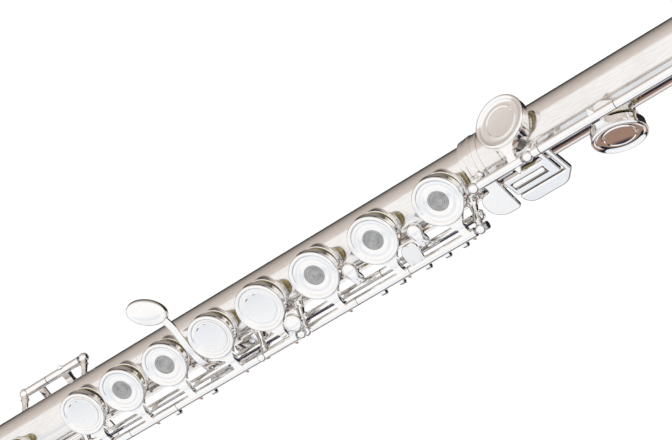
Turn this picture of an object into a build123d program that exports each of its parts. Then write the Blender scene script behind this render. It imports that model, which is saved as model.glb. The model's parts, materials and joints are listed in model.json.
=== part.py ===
from build123d import *
from math import cos, hypot, radians, sin
import os

# Concert flute, C foot, closed-hole G sharp, French (open-hole) cups with plugs.
# Millimetres. Stations are counted along the bore from the embouchure centre.
# The origin is on the bore axis at the open end of the foot: x = station - FOOT_END.
# +Z is up out of the main tone holes and -Y is the side of the long hinge rods.

# ---- bore and tubes -------------------------------------------------------------------------
BORE_R = 9.5
TUBE_R = 9.9
FOOT_END = 620.5
BODY_START, BODY_END = 176.3, 500.2      # the body stops short of the socket's shoulder
SOCKET_START, SOCKET_END = 486.6, 500.8
SOCKET_R_IN, SOCKET_R_OUT = 9.94, 10.45
HEAD_END = 172.0
TAPER_END = 112.0
HEAD_CLOSED_END = -44.0
HEAD_R_CLOSED = 9.05
HEAD_WALL = 0.42
EMBOUCHURE_R = (6.1, 5.2)

# ---- tone holes -----------------------------------------------------------------------------
RIM_HEIGHT = 11.8          # rolled rim, from the bore axis
RIM_BEAD = 0.85
SMALL_HOLE_R = 3.4
LEFT_HOLE_R = 6.9
RIGHT_HOLE_R = 7.4
THUMB_HOLE_R = 6.5
SEAT_GAP = 0.12            # pad face above the rim when a key is shut

# ---- stations of the tone holes -------------------------------------------------------------
S_DSHARP_TRILL = 229.2
S_D_TRILL = 245.7
S_CSHARP_TOP = 263.2
S_THUMB = 281.7
S_ASHARP, S_A, S_G, S_GLOW = 301.3, 322.1, 344.2, 367.6
S_FSHARP, S_F, S_E, S_D = 392.0, 418.2, 445.8, 475.5
S_FOOT_DSHARP, S_FOOT_CSHARP, S_FOOT_C = 508.7, 542.0, 576.9

# ---- cups -----------------------------------------------------------------------------------
LEFT_CUP_R = 8.9
RIGHT_CUP_R = 9.4
FOOT_CUP_R = 10.0
SMALL_CUP_R = 5.4
CUP_TOP = 4.5              # rolled edge above the pad face
CUP_PLATE = 3.45           # upper face of the plate above the pad face
CUP_CEILING = 2.75
CUP_WALL = 0.65
CUP_SKIRT = 0.55           # lower edge of the wall above the pad face
PLUG_HEAD_R, PLUG_STEM_R = 3.86, 3.25
FRENCH_HOLE_R = 3.28
FRENCH_STEP_R = 5.25
CLOSED_STEP_R = 6.0

# ---- hinge axes -----------------------------------------------------------------------------
MAIN_REACH, MAIN_HEIGHT = 17.2, 12.0        # from the cup centre line to the main steel
FOOT_AXIS = (-2.757, 19.714)                # Y and Z of the rod shared by the three foot keys
FOOT_DSHARP_ANGLE = 46.0                    # cup direction, from +Z towards +Y, degrees
FOOT_LOW_ANGLE = -56.4
TRILL_ANGLE, TRILL_REACH, TRILL_HEIGHT = -100.0, 9.85, 12.07
GSHARP_ANGLE, GSHARP_REACH, GSHARP_HEIGHT = -125.0, 12.7, 11.86
THUMB_ANGLE = -165.0
SIDE_AXIS_Y, SIDE_AXIS_Z = -16.7, 16.0      # short hinge of the B flat side lever
STEEL_R = 1.0
FIT = 0.05
HINGE_R = 1.7
TRILL_HINGE_R = 1.5
BALL_R = 2.05
NECK_R = 0.95              # bar between two balls of one post
OPEN_ANGLE = 7.0
RIB_T = 0.8
FOOT_DISC_R = 2.3          # round widening of a rib under a post


def at(station):
    return station - FOOT_END


def outward(angle):
    """Unit vector away from the bore axis; 0 degrees is +Z, 90 degrees is +Y."""
    return Vector(0, sin(radians(angle)), cos(radians(angle)))


def radial_plane(station, angle):
    """Plane through the bore axis whose normal points out of a tone hole."""
    return Plane(origin=(at(station), 0, 0), x_dir=(1, 0, 0), z_dir=outward(angle))


def hinge_point(angle, reach, height, flip=False):
    """Hinge axis in Y and Z for a cup that faces angle; flip puts it on the other side."""
    side = Vector(0, cos(radians(angle)), -sin(radians(angle))) * (-1 if flip else 1)
    return outward(angle) * height - side * reach


def lever_of(angle, axis, flip=False):
    """Reach and height of a hinge axis, given in Y and Z, for a cup that faces angle."""
    side = Vector(0, cos(radians(angle)), -sin(radians(angle))) * (-1 if flip else 1)
    point = Vector(0, *axis)
    return dict(reach=-point.dot(side), height=point.dot(outward(angle)))


def seat(station, angle=0.0, reach=MAIN_REACH, height=MAIN_HEIGHT, flip=False, opened=0.0):
    """Key frame: origin on the hinge axis, +Y to the cup, +Z out of the hole."""
    point = hinge_point(angle, reach, height, flip)
    along = (-1, 0, 0) if flip else (1, 0, 0)
    base = Plane(origin=(at(station), point.Y, point.Z), x_dir=along, z_dir=outward(angle))
    return base.location * Location((0, 0, 0), (opened, 0, 0))


# ---- shared shapes --------------------------------------------------------------------------
def sleeve(start, end, r_out, r_in, y=0.0, z=0.0):
    """Round tube, or a solid rod when r_in is 0, parallel to X."""
    with BuildPart() as tube:
        with BuildSketch(Plane.YZ.offset(start)):
            with Locations((y, z)):
                Circle(r_out)
                if r_in:
                    Circle(r_in, mode=Mode.SUBTRACT)
        extrude(amount=end - start)
    return tube.part


def turned(points, axis=Axis.Z, plane=Plane.XZ):
    """Solid of revolution from a closed outline of (radius, height) points."""
    with BuildPart() as solid:
        with BuildSketch(plane):
            with BuildLine():
                Polyline(*points, close=True)
            make_face()
        revolve(axis=axis)
    return solid.part


def cup_shell(radius, step_r, french):
    """Key cup about Z with the pad face at z = 0."""
    edge = radius - 0.25
    inner_edge = (radius - 1.7, CUP_PLATE + 0.25)
    plate_in = PLUG_HEAD_R + 0.04 if french else 0.0
    with BuildPart() as cup:
        with BuildSketch(Plane.XZ):
            with BuildLine():
                Polyline(
                    (edge - CUP_WALL, CUP_CEILING), (edge - CUP_WALL, CUP_SKIRT), (edge, CUP_SKIRT),
                    (edge, 2.6), (radius, 3.5))
                ThreePointArc((radius, 3.5), (radius - 0.35, CUP_TOP - 0.08), (radius - 0.75, CUP_TOP))
                ThreePointArc((radius - 0.75, CUP_TOP), (radius - 1.2, CUP_TOP - 0.22), inner_edge)
                Spline(inner_edge, (radius - 2.6, CUP_PLATE), (step_r + 0.4, CUP_PLATE + 0.04))
                if french:
                    Polyline(
                        (step_r + 0.4, CUP_PLATE + 0.04), (step_r + 0.15, CUP_PLATE + 0.22),
                        (step_r - 0.15, CUP_PLATE + 0.16), (plate_in, CUP_PLATE - 0.12),
                        (plate_in, CUP_CEILING + 0.1), (FRENCH_HOLE_R, CUP_CEILING + 0.1),
                        (FRENCH_HOLE_R, CUP_CEILING - 1.75), (FRENCH_HOLE_R + 0.4, CUP_CEILING - 1.75),
                        (FRENCH_HOLE_R + 0.4, CUP_CEILING), (edge - CUP_WALL, CUP_CEILING))
                else:
                    Polyline(
                        (step_r + 0.4, CUP_PLATE + 0.04), (step_r + 0.2, CUP_PLATE + 0.42),
                        (step_r - 0.25, CUP_PLATE + 0.42), (step_r - 0.55, CUP_PLATE + 0.16))
                    Spline(
                        (step_r - 0.55, CUP_PLATE + 0.16), (step_r * 0.5, CUP_PLATE + 0.04), (0, CUP_PLATE))
                    Polyline((0, CUP_PLATE), (0, CUP_CEILING), (edge - CUP_WALL, CUP_CEILING))
            make_face()
        revolve(axis=Axis.Z)
    return cup.part


def cup_pad(radius, french):
    """Felt and skin pad that fills the cup and stands proud of its lower edge."""
    pad_r = radius - 0.25 - CUP_WALL - 0.03
    inner = FRENCH_HOLE_R + 0.43 if french else 0.0
    with BuildPart() as pad:
        with BuildSketch(Plane.XZ):
            with BuildLine():
                Polyline(
                    (inner, 0.15), (inner + 0.15, 0), (pad_r - 0.45, 0), (pad_r - 0.1, 0.2),
                    (pad_r, 0.55), (pad_r, CUP_CEILING - 0.03), (inner, CUP_CEILING - 0.03), close=True)
            make_face()
        revolve(axis=Axis.Z)
    return pad.part


def plug():
    """Turned plug for a French cup, seated in the counterbore of the plate."""
    low, shelf, top = CUP_CEILING - 1.4, CUP_CEILING + 0.12, CUP_PLATE - 0.08
    return turned([
        (0, low), (PLUG_STEM_R - 0.3, low), (PLUG_STEM_R, low + 0.3), (PLUG_STEM_R, shelf),
        (PLUG_HEAD_R, shelf), (PLUG_HEAD_R, top - 0.1), (PLUG_HEAD_R - 0.2, top),
        (3.15, top), (2.95, top - 0.22), (2.3, top - 0.3), (2.1, top - 0.08), (1.75, top - 0.08),
        (1.55, top - 0.3), (0.95, top - 0.34), (0.6, top - 0.12), (0, top - 0.05)])


def arm(radius, reach, rise, narrow=1.45, toe=True):
    """Pointed key arm that runs off the hinge and meets the cup wall at a tangent."""
    base = SEAT_GAP + rise
    touch = radius - 0.3
    bx, by = touch * sin(radians(38)), reach - touch * cos(radians(38))
    gap = reach - radius
    with BuildPart() as solid:
        with BuildSketch(Plane.XY.offset(-4)):
            with BuildLine():
                Spline((-1.75, -0.6), (-narrow, gap * 0.45), (-bx, by), tangents=[(0, 1), (-0.79, 0.62)])
                Line((-bx, by), (-bx * 0.7, reach - touch * 0.55))
                Line((-bx * 0.7, reach - touch * 0.55), (bx * 0.7, reach - touch * 0.55))
                Line((bx * 0.7, reach - touch * 0.55), (bx, by))
                Spline((bx, by), (narrow, gap * 0.45), (1.75, -0.6), tangents=[(-0.79, -0.62), (0, -1)])
                Line((1.75, -0.6), (-1.75, -0.6))
            make_face()
        extrude(amount=14)
        with BuildSketch(Plane.YZ.offset(-10)):
            with BuildLine():
                Polyline((-0.6, -1.2), (-0.6, HINGE_R * 0.9), (0.9, HINGE_R + 0.1), (gap * 0.5, base + 2.35))
                Spline((gap * 0.5, base + 2.35), (gap * 0.8, base + 3.15), (gap + 0.8, base + 3.4),
                       tangents=[(1, 0.6), (1, 0)])
                Polyline((gap + 0.8, base + 3.4), (reach, base + 3.4), (reach, base + 1.1),
                         (gap + 0.4, base + 0.75), (gap * 0.45, base + 0.2), (1.3, -0.7), (-0.6, -1.2))
            make_face()
        extrude(amount=20, mode=Mode.INTERSECT)
        with BuildSketch(Plane.XY.offset(-6)):
            with Locations((0, reach)):
                Circle(radius - 0.6)
        extrude(amount=20, mode=Mode.SUBTRACT)
        if toe:
            with BuildSketch(Plane.XZ.offset(1.2)):
                with Locations((0, -0.8)):
                    Ellipse(1.5, 1.1)
            with BuildSketch(Plane.XZ.offset(3.1)):
                with Locations((0, -1.9)):
                    Ellipse(0.35, 0.25)
            loft()
    return solid.part


def keyed(frame, pieces, start, end, bore_r, hinge_r=HINGE_R):
    """One key: its pieces in the key frame, plus the hinge tube along X with its bore."""
    point = frame.position
    placed = [frame * piece for piece in pieces]
    with BuildPart() as key:
        add(sleeve(at(start), at(end), hinge_r, 0, point.Y, point.Z))
        for piece in placed:
            add(piece)
        if bore_r:
            with BuildSketch(Plane.YZ.offset(at(start) - 5)):
                with Locations((point.Y, point.Z)):
                    Circle(bore_r)
            extrude(amount=end - start + 10, mode=Mode.SUBTRACT)
    return key.part


def cup_at(reach, height, shape):
    """Moves a cup, pad or plug from its own axis to its place in the key frame."""
    return Location((0, reach, RIM_HEIGHT + SEAT_GAP - height)) * shape


def lug(station_offset, length=2.0, drop=1.5, width=2.2):
    """Pointed adjusting lug on the player's side of a hinge tube."""
    with BuildPart() as solid:
        with BuildSketch(Plane.XZ.offset(0.6)):
            with Locations((station_offset, 0)):
                Rectangle(width, 2.2)
        with BuildSketch(Plane.XZ.offset(HINGE_R + length * 0.55)):
            with Locations((station_offset, -0.3)):
                Rectangle(width * 0.9, 1.9)
        with BuildSketch(Plane.XZ.offset(HINGE_R + length)):
            with Locations((station_offset, -drop)):
                Rectangle(0.5, 0.5)
        loft()
    return solid.part


def paddle(outline, thickness):
    """Flat touch with a softened upper edge; the outline holds (x, y, corner radius)."""
    corners, radii = [(x, y) for x, y, _ in outline], [corner for _, _, corner in outline]
    with BuildPart() as solid:
        with BuildSketch():
            with BuildLine():
                FilletPolyline(*corners, radius=radii, close=True)
            make_face()
        extrude(amount=thickness)
        fillet(faces().sort_by(Axis.Z)[-1].edges(), thickness * 0.42)
    return solid.part


def dome(long_r, short_r, height):
    """Domed oval touch."""
    with BuildPart() as solid:
        with BuildSketch():
            Ellipse(short_r, long_r)
        extrude(amount=height)
        fillet(faces().sort_by(Axis.Z)[-1].edges(), height * 0.6)
    return solid.part


def teardrop(head_r, length, height, tip_r=0.9):
    """Domed teardrop touch, round at the origin and narrow towards -Y."""
    with BuildPart() as solid:
        with BuildSketch():
            Circle(head_r)
            with Locations((0, head_r + tip_r - length)):
                Circle(tip_r)
            make_hull()
        extrude(amount=height)
        fillet(faces().sort_by(Axis.Z)[-1].edges(), tip_r * 0.85)
    return solid.part


def strip(path, width, thickness):
    """Bent strip of rectangular section swept along points in X, Y, Z."""
    with BuildPart() as solid:
        with BuildLine() as line:
            Spline(*path)
        start = Plane(origin=line.line @ 0, z_dir=(line.line % 0), x_dir=(1, 0, 0))
        with BuildSketch(start):
            RectangleRounded(width, thickness, thickness * 0.35)
        sweep(path=line.line, transition=Transition.ROUND)
    return solid.part


def post(angle, axis, station, hole_r, base_r=TUBE_R + RIB_T, flange=2.2, depth=0.6, eyes=()):
    """Turned post with a ball bored for a steel; eyes are (y, z, radius, hole radius) for more rods."""
    axis_y, axis_z = axis
    foot = base_r - hypot(axis_y, axis_z)
    cove, collar = foot + 1.3, -3.3
    stem = turned([
        (0, foot - depth), (flange, foot - depth), (flange, foot + 0.6), (flange * 0.72, cove),
        (1.1, (cove + collar) / 2), (1.35, collar), (1.7, collar + 0.2), (1.7, collar + 0.6),
        (1.25, collar + 0.8), (1.3, -1.2), (0, -1.2)])
    column = Plane(origin=(at(station), axis_y, axis_z), x_dir=(1, 0, 0), z_dir=outward(angle))
    placed = column.location * stem
    with BuildPart() as one:
        add(placed)
        with Locations((at(station), axis_y, axis_z)):
            Sphere(BALL_R, rotation=(0, 90, 0))
        for y, z, ball_r, _ in eyes:
            with Locations((at(station), y, z)):
                Sphere(ball_r, rotation=(0, 90, 0))
            away = Vector(0, y - axis_y, z - axis_z)
            with BuildSketch(Plane(origin=(at(station), axis_y, axis_z), x_dir=(1, 0, 0), z_dir=away)):
                Circle(NECK_R)
            extrude(amount=away.length)
        for y, z, _, bore in [*eyes, (axis_y, axis_z, 0, hole_r)]:
            with BuildSketch(Plane.YZ.offset(at(station) - 4)):
                with Locations((y, z)):
                    Circle(bore)
            extrude(amount=8, mode=Mode.SUBTRACT)
        with BuildSketch(Plane.YZ.offset(at(station) - 4)):
            Circle(base_r)
        extrude(amount=8, mode=Mode.SUBTRACT)
    return one.part


def rib(start, end, angle, half_width, rounding=0.6):
    """Strap along the tube that carries posts: a ring sector trimmed to a flat-sided strip."""
    with BuildPart() as solid:
        with BuildSketch(Plane.YZ.offset(at(start))):
            Circle(TUBE_R + RIB_T)
            Circle(TUBE_R + 0.02, mode=Mode.SUBTRACT)
        extrude(amount=end - start)
        with BuildSketch(radial_plane((start + end) / 2, angle)):
            RectangleRounded(end - start - 0.02, 2 * half_width, half_width * rounding)
        extrude(amount=TUBE_R + 3, mode=Mode.INTERSECT)
    return solid.part


def foot_disc(station, angle, radius=FOOT_DISC_R):
    """Round widening of a rib under a post."""
    return rib(station - radius, station + radius, angle, radius, 0.95)


def chimney(radius):
    """Drawn tone hole wall with a rolled rim, solid inside, along Z from the bore axis."""
    return turned([
        (0, 0), (radius + 0.45, 0), (radius + 0.45, RIM_HEIGHT - 0.65),
        (radius + RIM_BEAD - 0.15, RIM_HEIGHT - 0.55), (radius + RIM_BEAD, RIM_HEIGHT - 0.4),
        (radius + RIM_BEAD, RIM_HEIGHT - 0.2), (radius + RIM_BEAD - 0.15, RIM_HEIGHT - 0.06),
        (radius + 0.6, RIM_HEIGHT), (0, RIM_HEIGHT)])


def tube_with_chimneys(start, end, holes, extra=None):
    """Thin tube with drawn tone holes; holes are (station, angle, radius)."""
    chimneys = [radial_plane(station, angle).location * chimney(radius) for station, angle, radius in holes]
    with BuildPart() as solid:
        add(sleeve(at(start), at(end), TUBE_R, 0))
        if extra:
            add(extra)
        for one in chimneys:
            add(one)
        for station, angle, radius in holes:
            with BuildSketch(radial_plane(station, angle)):
                Circle(radius)
            extrude(amount=RIM_HEIGHT + 1, mode=Mode.SUBTRACT)
        with BuildSketch(Plane.YZ.offset(at(start) - 1)):
            Circle(BORE_R)
        extrude(amount=end - start + 2, mode=Mode.SUBTRACT)
    return solid.part


def cup_key(station, radius, french=False, start=0.0, end=0.0, opened=0.0, lugs=(), extra=(), more_cups=(),
            step_r=None, angle=0.0, reach=MAIN_REACH, height=MAIN_HEIGHT, flip=False,
            bore_r=STEEL_R + FIT, hinge_r=HINGE_R):
    """Whole key: cup, arm, hinge tube and lugs, set at its resting angle."""
    frame = seat(station, angle, reach, height, flip, opened)
    step = step_r or (FRENCH_STEP_R if french else CLOSED_STEP_R)
    rise = RIM_HEIGHT - height
    pieces = [cup_at(reach, height, cup_shell(radius, step, french)), arm(radius, reach, rise)]
    for offset in more_cups:
        aside = Location((offset, 0, 0))
        pieces.append(aside * cup_at(reach, height, cup_shell(radius, CLOSED_STEP_R, False)))
        pieces.append(aside * arm(radius, reach, rise))
    pieces += [lug(offset) for offset in lugs]
    return keyed(frame, [*pieces, *extra], start, end, bore_r, hinge_r)


def in_cup(station, shape, angle=0.0, reach=MAIN_REACH, height=MAIN_HEIGHT, flip=False, opened=0.0):
    """Pad or plug placed in the cup of a key."""
    return seat(station, angle, reach, height, flip, opened) * cup_at(reach, height, shape)


def to_frame(frame, shape):
    """A shape made in row coordinates, expressed in a key frame."""
    return frame.inverse() * shape


# ================================= head joint ================================================
with BuildPart() as head_tube:
    with BuildSketch(Plane.XZ):
        with BuildLine():
            Polyline(
                (at(HEAD_CLOSED_END), HEAD_R_CLOSED - HEAD_WALL), (at(HEAD_CLOSED_END), HEAD_R_CLOSED),
                (at(TAPER_END), TUBE_R), (at(HEAD_END), TUBE_R), (at(HEAD_END), BORE_R),
                (at(TAPER_END), BORE_R), close=True)
        make_face()
    revolve(axis=Axis.X)
    with BuildSketch(radial_plane(0, 0)):
        Ellipse(*EMBOUCHURE_R)
    extrude(amount=20, mode=Mode.SUBTRACT)

with BuildPart() as lip_plate:
    with BuildSketch(Plane.YZ.offset(at(-24))):
        Circle(14.1)
        Circle(13.1, mode=Mode.SUBTRACT)
    extrude(amount=48)
    with BuildSketch(radial_plane(0, 0)):
        Ellipse(21.0, 12.7)
    extrude(amount=20, mode=Mode.INTERSECT)
    with BuildSketch(radial_plane(0, 0)):
        Ellipse(*EMBOUCHURE_R)
    extrude(amount=20, mode=Mode.SUBTRACT)

with BuildPart() as riser:
    with BuildSketch(Plane.YZ.offset(at(-9))):
        Circle(13.08)
        Circle(HEAD_R_CLOSED + 0.33, mode=Mode.SUBTRACT)
    extrude(amount=18)
    with BuildSketch(radial_plane(0, 0)):
        Ellipse(7.4, 6.5)
        Ellipse(*EMBOUCHURE_R, mode=Mode.SUBTRACT)
    extrude(amount=20, mode=Mode.INTERSECT)

with BuildPart() as crown:
    with BuildSketch(Plane.XZ):
        with BuildLine():
            Polyline(
                (at(-44.2), 1.62), (at(-44.2), 9.3), (at(-44.8), 9.75), (at(-46.6), 9.75), (at(-47.2), 9.35),
                (at(-48.0), 9.7), (at(-51.6), 9.35), (at(-53.0), 8.5), (at(-54.1), 6.8), (at(-54.8), 4.2),
                (at(-55.0), 0), (at(-52.4), 0), (at(-52.4), 1.62), close=True)
        make_face()
    revolve(axis=Axis.X)

with BuildPart() as stopper_cork:
    add(sleeve(at(-32.0), at(-18.6), 8.66, 1.6))

with BuildPart() as stopper_screw:
    with BuildSketch(Plane.XZ):
        with BuildLine():
            Polyline(
                (at(-17.3), 0), (at(-17.3), 8.6), (at(-18.5), 8.6), (at(-18.5), 1.55), (at(-32.1), 1.55),
                (at(-32.1), 5.5), (at(-33.4), 5.5), (at(-33.4), 1.55), (at(-52.0), 1.55), (at(-52.0), 0),
                close=True)
        make_face()
    revolve(axis=Axis.X)

# ================================= body ======================================================
BODY_HOLES = [
    (S_DSHARP_TRILL, TRILL_ANGLE, SMALL_HOLE_R), (S_D_TRILL, TRILL_ANGLE, SMALL_HOLE_R),
    (S_CSHARP_TOP, 0.0, SMALL_HOLE_R), (S_THUMB, THUMB_ANGLE, THUMB_HOLE_R),
    (S_ASHARP, 0.0, LEFT_HOLE_R), (S_A, 0.0, LEFT_HOLE_R), (S_G, 0.0, LEFT_HOLE_R),
    (S_GLOW, 0.0, LEFT_HOLE_R), (S_GLOW, GSHARP_ANGLE, LEFT_HOLE_R),
    (S_FSHARP, 0.0, RIGHT_HOLE_R), (S_F, 0.0, RIGHT_HOLE_R), (S_E, 0.0, RIGHT_HOLE_R), (S_D, 0.0, RIGHT_HOLE_R)]
with BuildPart() as body_tube:
    add(tube_with_chimneys(BODY_START, BODY_END, BODY_HOLES))

with BuildPart() as barrel:
    with BuildSketch(Plane.XZ):
        with BuildLine():
            Polyline(
                (at(141.0), 9.94), (at(141.0), 10.7), (at(141.6), 11.25), (at(143.0), 11.25),
                (at(143.6), 10.75), (at(145.2), 10.75), (at(145.6), 11.0), (at(146.4), 11.0),
                (at(146.8), 10.7), (at(184.4), 10.7), (at(184.8), 11.0), (at(185.6), 11.0),
                (at(186.0), 10.7), (at(187.4), 10.7), (at(188.0), 11.2), (at(189.4), 11.2),
                (at(190.0), 10.6), (at(190.0), 9.94), close=True)
        make_face()
    revolve(axis=Axis.X)

MAIN_AXIS = (-MAIN_REACH, MAIN_HEIGHT)
TRILL_POINT = hinge_point(TRILL_ANGLE, TRILL_REACH, TRILL_HEIGHT, True)
TRILL_AXIS = (TRILL_POINT.Y, TRILL_POINT.Z)
GSHARP_POINT = hinge_point(GSHARP_ANGLE, GSHARP_REACH, GSHARP_HEIGHT, True)
GSHARP_AXIS = (GSHARP_POINT.Y, GSHARP_POINT.Z)
THUMB_POINT = hinge_point(THUMB_ANGLE, MAIN_REACH, MAIN_HEIGHT)
THUMB_AXIS = (THUMB_POINT.Y, THUMB_POINT.Z)
MAIN_POST_ANGLE, TRILL_POST_ANGLE, GSHARP_POST_ANGLE = -55.1, -60.8, -93.0
THUMB_POST_ANGLE, FOOT_POST_ANGLE = 139.9, -8.0
GSHARP_STAND_ANGLE = -66.0                  # where the leaning posts of the G sharp key stand
MAIN_POSTS = (254.0, 289.5, 379.8, 399.3, 480.5)
GSHARP_POSTS, THUMB_POSTS = (350.4, 375.3), (260.0, 293.0)

with BuildPart() as body_ribs:
    add(rib(217.0, 484.0, -61.0, 1.4))
    add(foot_disc(221.0, TRILL_POST_ANGLE))
    for station in MAIN_POSTS:
        add(foot_disc(station, MAIN_POST_ANGLE))
    for station in GSHARP_POSTS:
        add(foot_disc(station, GSHARP_STAND_ANGLE, 1.9))
    add(rib(256.0, 297.0, 138.0, 1.9))

TUBE_EYE = (*TRILL_AXIS, 2.35, TRILL_HINGE_R + FIT)
SIDE_EYE = (SIDE_AXIS_Y, SIDE_AXIS_Z, 1.75, 0.85)
ROD_EYE = (*TRILL_AXIS, 2.35, STEEL_R + FIT)
MAIN_EYES = [[TUBE_EYE], [TUBE_EYE], [TUBE_EYE, SIDE_EYE], [TUBE_EYE, SIDE_EYE], [ROD_EYE]]
with BuildPart() as body_posts:
    add(post(TRILL_POST_ANGLE, TRILL_AXIS, 221.0, STEEL_R + FIT))
    for station, eyes in zip(MAIN_POSTS, MAIN_EYES):
        add(post(MAIN_POST_ANGLE, MAIN_AXIS, station, STEEL_R, eyes=eyes))
    for station in GSHARP_POSTS:
        add(post(GSHARP_POST_ANGLE, GSHARP_AXIS, station, STEEL_R, flange=1.5, depth=1.5))
    for station in THUMB_POSTS:
        add(post(THUMB_POST_ANGLE, THUMB_AXIS, station, STEEL_R, flange=2.0))

with BuildPart() as main_steel:
    add(sleeve(at(252.2), at(482.6), STEEL_R, 0, *MAIN_AXIS))
    add(sleeve(at(482.6), at(483.7), 1.5, 0, *MAIN_AXIS))
    with BuildSketch(Plane.YZ.offset(at(483.3))):
        with Locations(MAIN_AXIS):
            Rectangle(4, 0.45)
    extrude(amount=1, mode=Mode.SUBTRACT)

with BuildPart() as short_steels:
    add(sleeve(at(348.8), at(376.9), STEEL_R, 0, *GSHARP_AXIS))
    add(sleeve(at(258.4), at(294.6), STEEL_R, 0, *THUMB_AXIS))
    add(sleeve(at(378.2), at(400.9), 0.8, 0, SIDE_AXIS_Y, SIDE_AXIS_Z))

SPRING_Y, SPRING_Z = -14.25, 9.94
SPRINGS = [(254.0, 272.0), (289.5, 307.0), (379.8, 362.0), (379.8, 391.5), (399.3, 416.5), (480.5, 463.5)]
with BuildPart() as needle_springs:
    for first, last in SPRINGS:
        add(sleeve(at(min(first, last)), at(max(first, last)), 0.28, 0, SPRING_Y, SPRING_Z))

# ---- left hand keys -------------------------------------------------------------------------
with BuildPart() as key_csharp:
    add(cup_key(S_CSHARP_TOP, SMALL_CUP_R, start=256.3, end=287.2, opened=OPEN_ANGLE, step_r=3.2))

with BuildPart() as pad_csharp:
    add(in_cup(S_CSHARP_TOP, cup_pad(SMALL_CUP_R, False), opened=OPEN_ANGLE))

with BuildPart() as key_asharp:
    add(cup_key(S_ASHARP, LEFT_CUP_R, start=291.8, end=311.0, opened=OPEN_ANGLE))

with BuildPart() as pad_asharp:
    add(in_cup(S_ASHARP, cup_pad(LEFT_CUP_R, False), opened=OPEN_ANGLE))

with BuildPart() as key_a:
    add(cup_key(S_A, LEFT_CUP_R, True, start=311.2, end=334.9, opened=OPEN_ANGLE, lugs=[11.2]))

with BuildPart() as pad_a:
    add(in_cup(S_A, cup_pad(LEFT_CUP_R, True), opened=OPEN_ANGLE))

with BuildPart() as plug_a:
    add(in_cup(S_A, plug(), opened=OPEN_ANGLE))

with BuildPart() as key_g:
    add(cup_key(S_G, LEFT_CUP_R, True, start=335.1, end=377.5, opened=OPEN_ANGLE, lugs=[7.4],
                more_cups=[S_GLOW - S_G]))

with BuildPart() as pads_g:
    add(in_cup(S_G, cup_pad(LEFT_CUP_R, True), opened=OPEN_ANGLE))
    add(in_cup(S_GLOW, cup_pad(LEFT_CUP_R, False), opened=OPEN_ANGLE))

with BuildPart() as plug_g:
    add(in_cup(S_G, plug(), opened=OPEN_ANGLE))

GSHARP_FRAME = seat(S_GLOW, GSHARP_ANGLE, GSHARP_REACH, GSHARP_HEIGHT, True)
gsharp_lever = strip([
    (at(355.6), -16.6, 3.2), (at(355.6), -12.7, 4.3), (at(355.6), -11.15, 7.3), (at(355.6), -8.4, 12.0),
    (at(355.5), -2.5, 14.7), (at(355.4), 5.0, 15.4), (at(354.9), 11.5, 15.8), (at(352.6), 16.5, 16.0)],
    3.0, 1.4)
spoon_plane = Plane(origin=(at(350.0), 19.2, 15.6), x_dir=(0.52, 0.855, 0), z_dir=(0, 0, 1))
gsharp_spoon = spoon_plane.location * dome(8.3, 5.0, 1.8)
GSHARP_CUP = dict(angle=GSHARP_ANGLE, reach=GSHARP_REACH, height=GSHARP_HEIGHT, flip=True)
with BuildPart() as key_gsharp:
    add(cup_key(S_GLOW, LEFT_CUP_R - 0.3, start=352.6, end=373.2, **GSHARP_CUP, extra=[
        to_frame(GSHARP_FRAME, gsharp_lever), to_frame(GSHARP_FRAME, gsharp_spoon)]))

with BuildPart() as pad_gsharp:
    add(in_cup(S_GLOW, cup_pad(LEFT_CUP_R - 0.3, False), **GSHARP_CUP))

# ---- thumb keys -----------------------------------------------------------------------------
thumb_touch = Location((0, 29.4, 3.1)) * dome(6.4, 5.2, 1.8)
thumb_neck = Location((0, 24.2, 3.1)) * Box(4.0, 5.4, 1.3, align=(Align.CENTER, Align.CENTER, Align.MIN))
with BuildPart() as key_thumb:
    add(cup_key(S_THUMB, 8.4, start=273.2, end=290.8, opened=OPEN_ANGLE, angle=THUMB_ANGLE,
                extra=[thumb_touch, thumb_neck]))

with BuildPart() as pad_thumb:
    add(in_cup(S_THUMB, cup_pad(8.4, False), angle=THUMB_ANGLE, opened=OPEN_ANGLE))

lever_frame = seat(267.6, THUMB_ANGLE, opened=OPEN_ANGLE)
lever_bar = strip([(0, 1.0, 0.9), (0, 6.0, 2.2), (0, 14.0, 3.1), (0, 22.0, 3.5)], 3.2, 1.4)
lever_touch = Location((0, 26.6, 2.9)) * dome(6.6, 3.6, 1.8)
with BuildPart() as lever_thumb_bflat:
    add(keyed(lever_frame, [lever_bar, lever_touch], 262.3, 272.9, STEEL_R + FIT))

# ---- right hand keys ------------------------------------------------------------------------
with BuildPart() as key_fsharp:
    add(cup_key(S_FSHARP, RIGHT_CUP_R, start=382.1, end=397.0, opened=OPEN_ANGLE))

with BuildPart() as pad_fsharp:
    add(in_cup(S_FSHARP, cup_pad(RIGHT_CUP_R, False), opened=OPEN_ANGLE))

with BuildPart() as key_f:
    add(cup_key(S_F, RIGHT_CUP_R, True, start=401.6, end=424.0, opened=OPEN_ANGLE))

with BuildPart() as pad_f:
    add(in_cup(S_F, cup_pad(RIGHT_CUP_R, True), opened=OPEN_ANGLE))

with BuildPart() as plug_f:
    add(in_cup(S_F, plug(), opened=OPEN_ANGLE))

with BuildPart() as key_e:
    add(cup_key(S_E, RIGHT_CUP_R, True, start=424.2, end=448.5, opened=OPEN_ANGLE, lugs=[-11.3, -2.8]))

with BuildPart() as pad_e:
    add(in_cup(S_E, cup_pad(RIGHT_CUP_R, True), opened=OPEN_ANGLE))

with BuildPart() as plug_e:
    add(in_cup(S_E, plug(), opened=OPEN_ANGLE))

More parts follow.
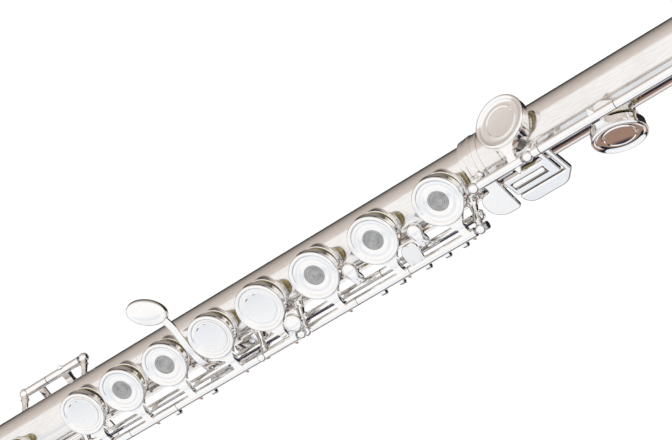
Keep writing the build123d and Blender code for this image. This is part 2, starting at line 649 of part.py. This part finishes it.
clutch = Location((0, 0, -0.2)) * paddle(
    [(-25.6, 0.8, 0.6), (-19.2, 0.8, 0.6), (-18.6, 8.8, 2.2), (-26.0, 8.8, 3.0)], 1.2)
clutch_screws = [
    Location((x, y, 0.8)) * Cylinder(0.75, 0.9, align=(Align.CENTER, Align.CENTER, Align.MIN))
    for x, y in ((-24.3, 2.4), (-20.6, 2.6), (-22.4, 8.0))]
with BuildPart() as key_d:
    add(cup_key(S_D, RIGHT_CUP_R, True, start=448.7, end=478.2, opened=OPEN_ANGLE,
                lugs=[-20.4, -11.5, -3.6], extra=[clutch, *clutch_screws]))

with BuildPart() as pad_d:
    add(in_cup(S_D, cup_pad(RIGHT_CUP_R, True), opened=OPEN_ANGLE))

with BuildPart() as plug_d:
    add(in_cup(S_D, plug(), opened=OPEN_ANGLE))

# ---- trill keys and side lever --------------------------------------------------------------
TRILL_CUP = dict(angle=TRILL_ANGLE, reach=TRILL_REACH, height=TRILL_HEIGHT, flip=True)


def trill_touch(station):
    """Teardrop touch on a curved neck that rises from the inner rod between two cups."""
    neck = strip([
        (at(station + 2.3), TRILL_AXIS[0] + 0.2, TRILL_AXIS[1] + 0.6), (at(station + 2.1), -12.6, 12.0),
        (at(station + 1.3), -11.4, 14.6), (at(station + 0.4), -9.6, 15.9)], 2.6, 1.3)
    head = Plane(origin=(at(station), -5.6, 15.2), x_dir=(1, 0, 0), z_dir=(0, -0.12, 1)).location
    return [neck, head * teardrop(2.75, 9.2, 1.9)]


def trill_key(cup_station, touch_station, start, end, bore_r):
    frame = seat(cup_station, **TRILL_CUP)
    return cup_key(cup_station, SMALL_CUP_R, start=start, end=end, bore_r=bore_r, step_r=3.2,
                   hinge_r=TRILL_HINGE_R, **TRILL_CUP,
                   extra=[to_frame(frame, piece) for piece in trill_touch(touch_station)])


with BuildPart() as key_trill_d:
    add(trill_key(S_D_TRILL, 430.3, 238.0, 436.0, STEEL_R + FIT))

with BuildPart() as pad_trill_d:
    add(in_cup(S_D_TRILL, cup_pad(SMALL_CUP_R, False), **TRILL_CUP))

with BuildPart() as key_trill_dsharp:
    add(cup_key(S_DSHARP_TRILL, SMALL_CUP_R, start=223.4, end=237.6, bore_r=0, step_r=3.2,
                hinge_r=TRILL_HINGE_R, **TRILL_CUP))
    add(sleeve(at(219.2), at(482.3), STEEL_R, 0, *TRILL_AXIS))
    add(sleeve(at(436.4), at(477.9), TRILL_HINGE_R, 0, *TRILL_AXIS))
    for piece in trill_touch(460.4):
        add(piece)

with BuildPart() as pad_trill_dsharp:
    add(in_cup(S_DSHARP_TRILL, cup_pad(SMALL_CUP_R, False), **TRILL_CUP))

side_touch = Location((at(399.6), -11.6, 16.5)) * dome(3.4, 3.6, 2.1)
with BuildPart() as lever_side_bflat:
    add(sleeve(at(381.8), at(397.3), 1.35, 0, SIDE_AXIS_Y, SIDE_AXIS_Z))
    add(strip([(at(395.6), -16.4, 16.6), (at(396.8), -14.8, 17.0), (at(398.0), -13.0, 17.1)], 2.4, 1.2))
    add(side_touch)
    with BuildSketch(Plane.YZ.offset(at(380))):
        with Locations((SIDE_AXIS_Y, SIDE_AXIS_Z)):
            Circle(0.85)
    extrude(amount=20, mode=Mode.SUBTRACT)

# ================================= foot joint ================================================
FOOT_HOLE_R = 7.5
FOOT_HOLES = [(S_FOOT_DSHARP, FOOT_DSHARP_ANGLE, FOOT_HOLE_R), (S_FOOT_CSHARP, FOOT_LOW_ANGLE, FOOT_HOLE_R),
              (S_FOOT_C, FOOT_LOW_ANGLE, FOOT_HOLE_R)]
socket = sleeve(at(SOCKET_START), at(501.0), SOCKET_R_OUT, 0)
with BuildPart() as foot_tube:
    add(tube_with_chimneys(SOCKET_START, FOOT_END, FOOT_HOLES, extra=socket))
    with BuildSketch(Plane.YZ.offset(at(SOCKET_START - 1))):
        Circle(SOCKET_R_IN)
    extrude(amount=SOCKET_END - SOCKET_START + 1, mode=Mode.SUBTRACT)

with BuildPart() as socket_ring:
    with BuildSketch(Plane.XZ):
        with BuildLine():
            Polyline(
                (at(485.9), 10.0), (at(485.9), 10.6), (at(486.2), 10.95), (at(487.2), 11.05),
                (at(487.6), 10.75), (at(488.2), 10.75), (at(488.6), 11.2), (at(490.2), 11.35),
                (at(490.8), 10.9), (at(491.6), 10.8), (at(492.0), 11.1), (at(493.4), 11.05),
                (at(494.1), 10.7), (at(494.1), 10.47), (at(486.5), 10.47), (at(486.5), 10.0), close=True)
        make_face()
    revolve(axis=Axis.X)

with BuildPart() as foot_posts:
    add(post(FOOT_POST_ANGLE, FOOT_AXIS, 490.7, STEEL_R, base_r=11.37, flange=1.9))
    add(post(FOOT_POST_ANGLE, FOOT_AXIS, 514.1, STEEL_R + FIT, base_r=TUBE_R + 0.02, flange=1.3))
    add(post(FOOT_POST_ANGLE, FOOT_AXIS, 590.0, STEEL_R + FIT, base_r=TUBE_R + 0.02, flange=2.4))

with BuildPart() as foot_steel:
    add(sleeve(at(488.4), at(513.9), STEEL_R, 0, *FOOT_AXIS))

DSHARP_SLOPE, LOW_SLOPE = 24.0, 33.0        # the touches slope down from the rod to the player's side
TOUCH_T = 1.9


def touch_plane(slope):
    """Plane through the foot rod, with local x towards the head and local y away from the rod."""
    up = (0, -sin(radians(slope)), cos(radians(slope)))
    return Plane(origin=(0, *FOOT_AXIS), x_dir=(-1, 0, 0), z_dir=up)


def foot_touch(outline, slope, window=None):
    """Touch plate from (station, distance from the hinge, corner radius), with a roller window if given."""
    plate = paddle([(-at(station), away, corner) for station, away, corner in outline], TOUCH_T)
    if window:
        (first, near), (last, far) = window
        cut = Box(last - first, far - near, 3 * TOUCH_T)
        plate = plate - Location((-at((first + last) / 2), (near + far) / 2, TOUCH_T / 2)) * cut
    return touch_plane(slope).location * (Location((0, 0, -TOUCH_T / 2)) * plate)


FOOT_DSHARP_CUP = dict(angle=FOOT_DSHARP_ANGLE, **lever_of(FOOT_DSHARP_ANGLE, FOOT_AXIS))
FOOT_LOW_LEVER = lever_of(FOOT_LOW_ANGLE, FOOT_AXIS, True)
FOOT_LOW_CUP = dict(angle=FOOT_LOW_ANGLE, **FOOT_LOW_LEVER, flip=True, opened=OPEN_ANGLE)
dsharp_frame = seat(S_FOOT_DSHARP, **FOOT_DSHARP_CUP)
dsharp_paddle = foot_touch([
    (499.0, 1.0, 0.9), (494.0, 1.0, 0.9), (494.0, 4.6, 1.2), (488.4, 4.6, 4.2), (488.4, 16.0, 6.4),
    (499.0, 16.0, 1.0)], DSHARP_SLOPE)
with BuildPart() as key_foot_dsharp:
    add(cup_key(S_FOOT_DSHARP, FOOT_CUP_R, start=493.0, end=511.8, **FOOT_DSHARP_CUP,
                extra=[to_frame(dsharp_frame, dsharp_paddle)]))

with BuildPart() as pad_foot_dsharp:
    add(in_cup(S_FOOT_DSHARP, cup_pad(FOOT_CUP_R, False), **FOOT_DSHARP_CUP))

low_frame = seat(S_FOOT_CSHARP, **FOOT_LOW_CUP)
csharp_paddle = foot_touch([
    (521.9, 1.0, 0.9), (519.9, 1.0, 0.9), (519.9, 13.3, 0.9), (500.2, 13.3, 0.9), (500.2, 19.0, 4.4),
    (517.4, 19.0, 6.0), (521.9, 14.4, 1.6)], LOW_SLOPE)
with BuildPart() as key_foot_csharp:
    add(cup_key(S_FOOT_CSHARP, FOOT_CUP_R, start=519.5, end=551.0, **FOOT_LOW_CUP,
                extra=[to_frame(low_frame, csharp_paddle)]))

with BuildPart() as pad_foot_csharp:
    add(in_cup(S_FOOT_CSHARP, cup_pad(FOOT_CUP_R, False), **FOOT_LOW_CUP))

ROLLER_START, ROLLER_END, ROLLER_AWAY, ROLLER_R = 501.8, 515.2, 8.05, 1.45
roller_at = touch_plane(LOW_SLOPE).location * Location((0, ROLLER_AWAY, 0.15))
ROLLER_AXIS = (roller_at.position.Y, roller_at.position.Z)
c_frame = foot_touch([
    (518.9, 1.0, 0.9), (516.9, 1.0, 0.9), (516.9, 4.2, 0.9), (499.9, 4.2, 0.9), (499.9, 12.8, 1.4),
    (518.9, 12.8, 0.9)], LOW_SLOPE, window=((501.4, 6.2), (515.6, 9.9)))
with BuildPart() as key_foot_c:
    add(cup_key(S_FOOT_C, FOOT_CUP_R, start=551.3, end=587.6, bore_r=0, **FOOT_LOW_CUP))
    add(sleeve(at(514.3), at(591.6), STEEL_R, 0, *FOOT_AXIS))
    add(sleeve(at(516.5), at(519.2), HINGE_R, 0, *FOOT_AXIS))
    add(c_frame)
    add(sleeve(at(500.8), at(516.2), 0.5, 0, *ROLLER_AXIS))

with BuildPart() as pad_foot_c:
    add(in_cup(S_FOOT_C, cup_pad(FOOT_CUP_R, False), **FOOT_LOW_CUP))

with BuildPart() as c_roller:
    add(sleeve(at(ROLLER_START), at(ROLLER_END), ROLLER_R, 0, *ROLLER_AXIS))
    fillet(edges().filter_by(GeomType.CIRCLE), 0.7)
    with BuildSketch(Plane.YZ.offset(at(ROLLER_START - 1))):
        with Locations(ROLLER_AXIS):
            Circle(0.5 + FIT)
    extrude(amount=ROLLER_END - ROLLER_START + 2, mode=Mode.SUBTRACT)

# ================================= export ====================================================
NODES = {
    "head_tube": head_tube, "lip_plate": lip_plate, "riser": riser, "crown": crown,
    "stopper_cork": stopper_cork, "stopper_screw": stopper_screw,
    "body_tube": body_tube, "barrel": barrel, "body_ribs": body_ribs, "body_posts": body_posts,
    "main_steel": main_steel, "short_steels": short_steels, "needle_springs": needle_springs,
    "key_csharp": key_csharp, "pad_csharp": pad_csharp, "key_asharp": key_asharp, "pad_asharp": pad_asharp,
    "key_a": key_a, "pad_a": pad_a, "plug_a": plug_a, "key_g": key_g, "pads_g": pads_g, "plug_g": plug_g,
    "key_gsharp": key_gsharp, "pad_gsharp": pad_gsharp, "key_thumb": key_thumb, "pad_thumb": pad_thumb,
    "lever_thumb_bflat": lever_thumb_bflat, "key_fsharp": key_fsharp, "pad_fsharp": pad_fsharp,
    "key_f": key_f, "pad_f": pad_f, "plug_f": plug_f, "key_e": key_e, "pad_e": pad_e, "plug_e": plug_e,
    "key_d": key_d, "pad_d": pad_d, "plug_d": plug_d,
    "key_trill_d": key_trill_d, "pad_trill_d": pad_trill_d,
    "key_trill_dsharp": key_trill_dsharp, "pad_trill_dsharp": pad_trill_dsharp,
    "lever_side_bflat": lever_side_bflat, "foot_tube": foot_tube, "socket_ring": socket_ring,
    "foot_posts": foot_posts, "foot_steel": foot_steel, "key_foot_dsharp": key_foot_dsharp,
    "pad_foot_dsharp": pad_foot_dsharp,
    "key_foot_csharp": key_foot_csharp, "pad_foot_csharp": pad_foot_csharp,
    "key_foot_c": key_foot_c, "pad_foot_c": pad_foot_c, "c_roller": c_roller,
}
os.makedirs("parts", exist_ok=True)
for name, built in NODES.items():
    built.part.label = name
    export_step(built.part, f"parts/{name}.step")
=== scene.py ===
"""Looks of the concert flute: silver plate, pads, plugs, cork and a white studio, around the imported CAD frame."""
import json
import math

import bpy
from mathutils import Matrix, Vector


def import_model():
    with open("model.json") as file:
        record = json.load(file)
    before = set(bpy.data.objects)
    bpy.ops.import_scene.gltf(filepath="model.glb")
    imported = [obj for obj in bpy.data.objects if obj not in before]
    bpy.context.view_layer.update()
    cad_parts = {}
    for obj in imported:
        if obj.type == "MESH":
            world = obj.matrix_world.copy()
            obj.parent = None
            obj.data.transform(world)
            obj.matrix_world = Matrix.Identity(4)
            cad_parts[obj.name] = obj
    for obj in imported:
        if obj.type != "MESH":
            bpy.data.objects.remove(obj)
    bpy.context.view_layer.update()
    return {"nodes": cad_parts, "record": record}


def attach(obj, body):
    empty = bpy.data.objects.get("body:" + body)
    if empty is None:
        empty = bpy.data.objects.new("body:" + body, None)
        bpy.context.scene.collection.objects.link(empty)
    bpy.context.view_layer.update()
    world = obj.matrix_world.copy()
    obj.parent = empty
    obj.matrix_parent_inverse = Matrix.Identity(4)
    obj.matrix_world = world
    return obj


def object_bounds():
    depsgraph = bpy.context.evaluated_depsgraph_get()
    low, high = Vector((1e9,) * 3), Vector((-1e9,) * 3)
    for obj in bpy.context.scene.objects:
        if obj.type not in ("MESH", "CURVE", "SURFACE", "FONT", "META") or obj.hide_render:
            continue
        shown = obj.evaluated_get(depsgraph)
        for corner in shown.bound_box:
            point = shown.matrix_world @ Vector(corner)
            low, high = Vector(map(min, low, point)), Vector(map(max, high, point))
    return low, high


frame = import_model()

nodes = frame["nodes"]
MM = 0.001

PLAIN = (1, 1, 1)              # colour or scale that changes nothing
NOISE_LOW, NOISE_HIGH = 0.3, 0.7    # where a noise texture's values mostly lie
MIX_AMOUNT, MIX_FIRST, MIX_SECOND, MIX_RESULT = 0, 6, 7, 2     # sockets of a mix node set to colours


# ---- shader building ----------------------------------------------------------------------------
def material(name):
    """A new material, its node tree and its shader."""
    made = bpy.data.materials.new(name)
    made.use_nodes = True
    tree = made.node_tree
    return made, tree, tree.nodes["Principled BSDF"]


def coordinates(tree, scale=PLAIN):
    """Object coordinates, stretched by scale."""
    source = tree.nodes.new("ShaderNodeTexCoord")
    mapping = tree.nodes.new("ShaderNodeMapping")
    mapping.inputs["Scale"].default_value = scale
    tree.links.new(source.outputs["Object"], mapping.inputs["Vector"])
    return mapping.outputs["Vector"]


def noise(tree, vector, scale, detail=4.0, roughness=0.55):
    """Noise value, with scale in cells a metre."""
    made = tree.nodes.new("ShaderNodeTexNoise")
    made.inputs["Scale"].default_value = scale
    made.inputs["Detail"].default_value = detail
    made.inputs["Roughness"].default_value = roughness
    tree.links.new(vector, made.inputs["Vector"])
    return made.outputs["Fac"]


def ramp(tree, value, *stops):
    """Colour ramp with stops of (position, colour)."""
    made = tree.nodes.new("ShaderNodeValToRGB")
    elements = made.color_ramp.elements
    while len(elements) < len(stops):
        elements.new(0.5)
    for element, (position, colour) in zip(elements, stops):
        element.position = position
        element.color = (*colour, 1.0)
    tree.links.new(value, made.inputs["Fac"])
    return made.outputs["Color"]


def span(tree, value, low, high):
    """Maps a noise value onto low to high."""
    made = tree.nodes.new("ShaderNodeMapRange")
    made.inputs["From Min"].default_value = NOISE_LOW
    made.inputs["From Max"].default_value = NOISE_HIGH
    made.inputs["To Min"].default_value = low
    made.inputs["To Max"].default_value = high
    tree.links.new(value, made.inputs["Value"])
    return made.outputs["Result"]


def bump(tree, shader, height, distance):
    """Fine relief of a surface, with its depth in metres."""
    made = tree.nodes.new("ShaderNodeBump")
    made.inputs["Distance"].default_value = distance
    made.inputs["Strength"].default_value = 1.0
    tree.links.new(height, made.inputs["Height"])
    tree.links.new(made.outputs["Normal"], shader.inputs["Normal"])


def painted_shade_occlusion(tree, distance=0.0012):
    """Ambient occlusion for painting shade into colours: 1 in the open, 0 in corners."""
    made = tree.nodes.new("ShaderNodeAmbientOcclusion")
    made.samples = 6
    made.inputs["Distance"].default_value = distance
    return made.outputs["AO"]


def multiply(tree, first, second):
    """Product of two colours."""
    made = tree.nodes.new("ShaderNodeMix")
    made.data_type = "RGBA"
    made.blend_type = "MULTIPLY"
    made.inputs[MIX_AMOUNT].default_value = 1.0
    tree.links.new(first, made.inputs[MIX_FIRST])
    tree.links.new(second, made.inputs[MIX_SECOND])
    return made.outputs[MIX_RESULT]


def silver(name, tint, deep, roughness, swirl, grain_dark, along=PLAIN):
    """Silver plate: tint clouded with deep, fine polishing lines stretched by along, and painted shade darkening
    its corners.
    """
    made, tree, shader = material(name)
    shader.inputs["Metallic"].default_value = 1.0
    place = coordinates(tree)
    cloud = noise(tree, place, 55.0, 5.0)
    colour = ramp(tree, cloud, (0.3, deep), (0.62, tint))
    # painted shade: the colour darkens to brown-grey where ambient occlusion finds corners
    painted_corner_shade = ramp(tree, painted_shade_occlusion(tree), (0.0, (0.30, 0.25, 0.22)), (0.6, PLAIN))
    fine = noise(tree, coordinates(tree, along), 900.0, 3.0)
    grain = ramp(tree, fine, (0.3, (grain_dark,) * 3), (0.65, PLAIN))
    # cloudy tint and polishing lines, multiplied by the painted corner shade, not by wear
    tint_grain_and_painted_shade = multiply(tree, multiply(tree, colour, painted_corner_shade), grain)
    tree.links.new(tint_grain_and_painted_shade, shader.inputs["Base Color"])
    tree.links.new(span(tree, fine, roughness * 0.75, roughness * 1.3), shader.inputs["Roughness"])
    bump(tree, shader, fine, swirl)
    return made


def felt_skin(name):
    """Yellow skin stretched over felt: translucent mottling, fine wrinkles and painted shade in its corners."""
    made, tree, shader = material(name)
    place = coordinates(tree)
    mottle = noise(tree, place, 260.0, 6.0)
    colour = ramp(tree, mottle, (NOISE_LOW, (0.38, 0.30, 0.10)), (NOISE_HIGH, (0.70, 0.60, 0.28)))
    # painted shade: the skin's colour darkens where ambient occlusion finds corners
    painted_corner_shade = ramp(tree, painted_shade_occlusion(tree, 0.002), (0.1, (0.35, 0.32, 0.25)), (0.8, PLAIN))
    tree.links.new(multiply(tree, colour, painted_corner_shade), shader.inputs["Base Color"])
    shader.inputs["Roughness"].default_value = 0.5
    shader.inputs["Sheen Weight"].default_value = 0.25
    bump(tree, shader, noise(tree, place, 1400.0, 5.0), 0.00003)
    return made


def plug_finish(name):
    """Grey turned plug: mottled, with painted shade darkening its corners."""
    made, tree, shader = material(name)
    shader.inputs["Metallic"].default_value = 0.85
    place = coordinates(tree)
    mottle = noise(tree, place, 420.0, 4.0)
    colour = ramp(tree, mottle, (NOISE_LOW, (0.34, 0.335, 0.33)), (NOISE_HIGH, (0.52, 0.515, 0.51)))
    # painted shade: the grey darkens where ambient occlusion finds corners
    painted_corner_shade = ramp(tree, painted_shade_occlusion(tree, 0.0006), (0.1, (0.30, 0.29, 0.28)), (0.7, PLAIN))
    tree.links.new(multiply(tree, colour, painted_corner_shade), shader.inputs["Base Color"])
    shader.inputs["Roughness"].default_value = 0.34
    bump(tree, shader, noise(tree, place, 1600.0, 3.0), 0.00001)
    return made


def steel(name):
    """Turned steel rod: rings of fine tool marks along X."""
    made, tree, shader = material(name)
    shader.inputs["Metallic"].default_value = 1.0
    marks = noise(tree, coordinates(tree, (9, 1, 1)), 500.0, 4.0)
    colour = ramp(tree, marks, (NOISE_LOW, (0.36, 0.36, 0.38)), (NOISE_HIGH, (0.62, 0.62, 0.64)))
    tree.links.new(colour, shader.inputs["Base Color"])
    tree.links.new(span(tree, marks, 0.2, 0.36), shader.inputs["Roughness"])
    bump(tree, shader, marks, 0.000008)
    return made


def blued_steel(name):
    """Spring wire, blued by heat."""
    made, tree, shader = material(name)
    shader.inputs["Metallic"].default_value = 1.0
    marks = noise(tree, coordinates(tree, (4, 1, 1)), 700.0, 3.0)
    colour = ramp(tree, marks, (NOISE_LOW, (0.02, 0.025, 0.05)), (NOISE_HIGH, (0.07, 0.08, 0.14)))
    tree.links.new(colour, shader.inputs["Base Color"])
    tree.links.new(span(tree, marks, 0.18, 0.34), shader.inputs["Roughness"])
    return made


def cork(name):
    """Natural cork: pores and grain."""
    made, tree, shader = material(name)
    place = coordinates(tree)
    cells = tree.nodes.new("ShaderNodeTexVoronoi")
    cells.inputs["Scale"].default_value = 1100.0
    tree.links.new(place, cells.inputs["Vector"])
    grain = noise(tree, place, 420.0, 6.0)
    colour = ramp(tree, grain, (NOISE_LOW, (0.24, 0.13, 0.06)), (NOISE_HIGH, (0.50, 0.33, 0.19)))
    pores = ramp(tree, cells.outputs["Distance"], (0.05, (0.45, 0.36, 0.3)), (0.3, PLAIN))
    tree.links.new(multiply(tree, colour, pores), shader.inputs["Base Color"])
    shader.inputs["Roughness"].default_value = 0.85
    bump(tree, shader, cells.outputs["Distance"], 0.00008)
    return made


TUBE = silver("tube_silver", (0.93, 0.905, 0.885), (0.88, 0.85, 0.825), 0.13, 0.000004, 0.9, (0.25, 3, 3))
KEYS = silver("key_silver", (0.975, 0.965, 0.955), (0.94, 0.925, 0.91), 0.05, 0.000002, 0.97)
PADS, PLUGS, STEELS = felt_skin("pad_skin"), plug_finish("plug_grey"), steel("turned_steel")
SPRINGS, CORK = blued_steel("blued_spring"), cork("cork")

FINISH = {"tube_silver": TUBE, "key_silver": KEYS, "steel": STEELS, "plug_finish": PLUGS,
          "pad_skin": PADS, "cork": CORK}
SLOT_OF = {part["node"]: part["material_slot"] for part in frame["record"]["subparts"]}
OWN_FINISH = {"needle_springs": SPRINGS}


def dress(name, piece):
    """Gives a CAD node its finish through its own material slots."""
    finish = OWN_FINISH.get(name) or FINISH[SLOT_OF[name]]
    for index in range(len(piece.material_slots)):
        piece.material_slots[index].material = finish


for node_name, node_object in nodes.items():
    dress(node_name, node_object)

# ---- touches that the player's fingers meet, as full domes over the CAD touches ------------------
FOOT_END = 620.5               # station of the frame's origin, in millimetres from the embouchure
RINGS, TURNS = 14, 72          # of points in a domed touch
DOME_FLATNESS, DOME_ROUNDING = 2.6, 0.55
UNDERSIDE_SHARE, UNDERSIDE_DEPTH = 0.86, 0.35   # size of the underside, and its depth below the rim in mm


def row(station, y, z):
    """A point in metres from a station along the bore, Y and Z in millimetres."""
    return Vector(((station - FOOT_END) * MM, y * MM, z * MM))


def mesh_piece(name, points, faces, finish, body):
    """A smooth mesh that rides on a body of the frame."""
    data = bpy.data.meshes.new(name)
    data.from_pydata(points, [], faces)
    data.materials.append(finish)
    for face in data.polygons:
        face.use_smooth = True
    made = bpy.data.objects.new(name, data)
    bpy.context.scene.collection.objects.link(made)
    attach(made, body)
    return made


def axes(origin, along, normal):
    """Matrix with local Y along and local Z normal."""
    up = Vector(normal).normalized()
    right = Vector(along).cross(up).normalized()
    forward = up.cross(right)
    return Matrix((
        (right.x, forward.x, up.x, origin.x), (right.y, forward.y, up.y, origin.y),
        (right.z, forward.z, up.z, origin.z), (0, 0, 0, 1)))


def flat(x, y):
    return 0.0


def drooping(x, y):
    """Drop of a touch's surface towards its tip."""
    return -0.05 * min(0.0, y) * y


def pillow(name, place, outline, base, height, body, sag=flat):
    """Domed silver touch. outline(angle) is the edge radius in mm, base the rim's height above place,
    height the crown's height above the rim, and sag(x, y) bends the whole touch."""
    def loop(share, level):
        """One ring of points at a share of the outline."""
        for step in range(TURNS):
            angle = 2 * math.pi * step / TURNS
            reach = outline(angle) * share
            x, y = reach * math.sin(angle), reach * math.cos(angle)
            points.append(place @ (Vector((x, y, level + sag(x, y))) * MM))

    points, faces = [], []
    for ring in range(1, RINGS + 1):
        share = ring / RINGS
        loop(share, base + height * (1 - share ** DOME_FLATNESS) ** DOME_ROUNDING)
    top = len(points)
    points.append(place @ (Vector((0, 0, base + height + sag(0, 0))) * MM))
    bottom = len(points)
    loop(UNDERSIDE_SHARE, base - UNDERSIDE_DEPTH)
    under = len(points)
    points.append(place @ (Vector((0, 0, base - UNDERSIDE_DEPTH + sag(0, 0))) * MM))
    for step in range(TURNS):
        after = (step + 1) % TURNS
        faces.append((top, after, step))
        for ring in range(RINGS - 1):
            low, high = ring * TURNS, (ring + 1) * TURNS
            faces.append((low + step, low + after, high + after, high + step))
        edge = (RINGS - 1) * TURNS
        faces.append((edge + step, edge + after, bottom + after, bottom + step))
        faces.append((under, bottom + step, bottom + after))
    return mesh_piece(name, points, faces, KEYS, body)


def teardrop_edge(head, tail, tip):
    """Edge radius of a teardrop: round at the head, drawn out to a tip along -Y."""
    def edge(angle):
        back = max(0.0, -math.cos(angle))
        return head + (tail - head) * back ** 7 + tip * back ** 2
    return edge


def oval_edge(across, along):
    """Edge radius of an ellipse."""
    return lambda angle: across * along / math.hypot(along * math.sin(angle), across * math.cos(angle))


TRILL_TOUCHES = {"trill_d_key": 430.3, "trill_dsharp_key": 460.4}   # stations of the two trill touches
TRILL_LEAN = 0.12              # rise of a trill touch towards the far side
TRILL_EDGE = teardrop_edge(2.95, 6.9, 0.35)
SPOON_AT, SPOON_ALONG = row(350.0, 19.2, 15.6), (0.855, -0.52, 0)
SIDE_TOUCH_AT = row(399.6, -11.6, 16.5)
UPWARDS, ACROSS = (0, 0, 1), (0, 1, 0)

for touch_body, touch_station in TRILL_TOUCHES.items():
    spot = axes(row(touch_station, -5.6, 15.2), (0, 1, TRILL_LEAN), (0, -TRILL_LEAN, 1))
    pillow("touch_" + touch_body, spot, TRILL_EDGE, -0.15, 2.75, touch_body, sag=drooping)

spoon_spot = axes(SPOON_AT, SPOON_ALONG, UPWARDS)
pillow("gsharp_spoon_crown", spoon_spot, oval_edge(5.2, 8.5), -0.2, 2.7, "gsharp_key")
side_spot = axes(SIDE_TOUCH_AT, ACROSS, UPWARDS)
pillow("side_bflat_crown", side_spot, oval_edge(3.7, 3.5), 0.0, 2.75, "side_bflat_lever")

# ---- studio -------------------------------------------------------------------------------------
FLOOR_DROP, FLOOR_SIZE = 0.05, 8.0
WORLD_STRENGTH = 1.02
WHITE, COOL, BEIGE = (1, 1, 1), (0.8, 0.84, 0.9), (0.78, 0.72, 0.68)
SLATE, BROWN, DIM = (0.012, 0.016, 0.03), (0.34, 0.22, 0.17), (0.02, 0.02, 0.022)
STUDIO = (  # degrees round the bore axis, from straight up towards the far side, with the light's colour
    (-178, DIM), (-158, DIM), (-150, (0.5, 0.48, 0.46)), (-126, WHITE), (-116, BROWN), (-104, BROWN),
    (-101, SLATE), (-86, SLATE), (-83, COOL), (-40, WHITE), (-30, COOL), (-10, WHITE), (70, WHITE),
    (73, BEIGE), (112, (0.56, 0.5, 0.46)), (140, (0.3, 0.27, 0.25)), (158, (0.05, 0.045, 0.04)), (178, DIM))


def stage_floor():
    """Plain pale paper under the flute, which the silver doesn't reflect."""
    low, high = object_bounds()
    middle = (low + high) / 2
    bpy.ops.mesh.primitive_plane_add(size=FLOOR_SIZE, location=(middle.x, middle.y, low.z - FLOOR_DROP))
    floor = bpy.context.object
    floor.name = "studio_floor"
    made, tree, shader = material("floor_paper")
    mottle = noise(tree, coordinates(tree), 6.0, 3.0)
    colour = ramp(tree, mottle, (NOISE_LOW, (0.94, 0.94, 0.94)), (NOISE_HIGH, (0.96, 0.96, 0.96)))
    tree.links.new(colour, shader.inputs["Base Color"])
    shader.inputs["Roughness"].default_value = 0.9
    shader.inputs["Emission Color"].default_value = (1, 1, 1, 1)
    shader.inputs["Emission Strength"].default_value = 0.25
    floor.data.materials.append(made)
    floor.visible_glossy = False


CAMERA_AT = Vector((0.2566, 0.1074, 0.8203))
CAMERA_RIGHT = Vector((0.7510, -0.5638, -0.3438))
CAMERA_UP = Vector((0.4565, 0.8194, -0.3466))
CAMERA_LENS, SENSOR_WIDTH = 140.12, 36.0   # in mm
CLIP_NEAR, CLIP_FAR = 0.05, 20.0


def camera():
    """The camera, square to its right and up directions."""
    data = bpy.data.cameras.new("camera")
    data.sensor_width, data.lens = SENSOR_WIDTH, CAMERA_LENS
    data.clip_start, data.clip_end = CLIP_NEAR, CLIP_FAR
    made = bpy.data.objects.new("camera", data)
    bpy.context.scene.collection.objects.link(made)
    right = CAMERA_RIGHT.normalized()
    back = right.cross(CAMERA_UP).normalized()
    up = back.cross(right)
    made.matrix_world = Matrix((
        (right.x, up.x, back.x, CAMERA_AT.x), (right.y, up.y, back.y, CAMERA_AT.y),
        (right.z, up.z, back.z, CAMERA_AT.z), (0, 0, 0, 1)))
    bpy.context.scene.camera = made


def world():
    """White studio with long cards parallel to the flute. The stops go round the bore axis, from below (0)
    by the player's side, the top (0.5) and the far side back to below (1). The camera itself sees plain white."""
    made = bpy.data.worlds.new("studio")
    made.use_nodes = True
    tree = made.node_tree
    source = tree.nodes.new("ShaderNodeTexCoord")
    split = tree.nodes.new("ShaderNodeSeparateXYZ")
    tree.links.new(source.outputs["Generated"], split.inputs["Vector"])
    turn = tree.nodes.new("ShaderNodeMath")
    turn.operation = "ARCTAN2"
    tree.links.new(split.outputs["Y"], turn.inputs[0])
    tree.links.new(split.outputs["Z"], turn.inputs[1])
    share = tree.nodes.new("ShaderNodeMapRange")
    share.inputs["From Min"].default_value = -math.pi
    share.inputs["From Max"].default_value = math.pi
    tree.links.new(turn.outputs["Value"], share.inputs["Value"])
    cards = ramp(tree, share.outputs["Result"], *((0.5 + degrees / 360, colour) for degrees, colour in STUDIO))
    path = tree.nodes.new("ShaderNodeLightPath")
    blend = tree.nodes.new("ShaderNodeMix")
    blend.data_type = "RGBA"
    tree.links.new(path.outputs["Is Camera Ray"], blend.inputs[MIX_AMOUNT])
    tree.links.new(cards, blend.inputs[MIX_FIRST])
    blend.inputs[MIX_SECOND].default_value = (*PLAIN, 1)
    background = tree.nodes["Background"]
    tree.links.new(blend.outputs[MIX_RESULT], background.inputs["Color"])
    background.inputs["Strength"].default_value = WORLD_STRENGTH
    bpy.context.scene.world = made


camera()
world()
stage_floor()

bpy.context.scene.view_settings.view_transform = "Standard"
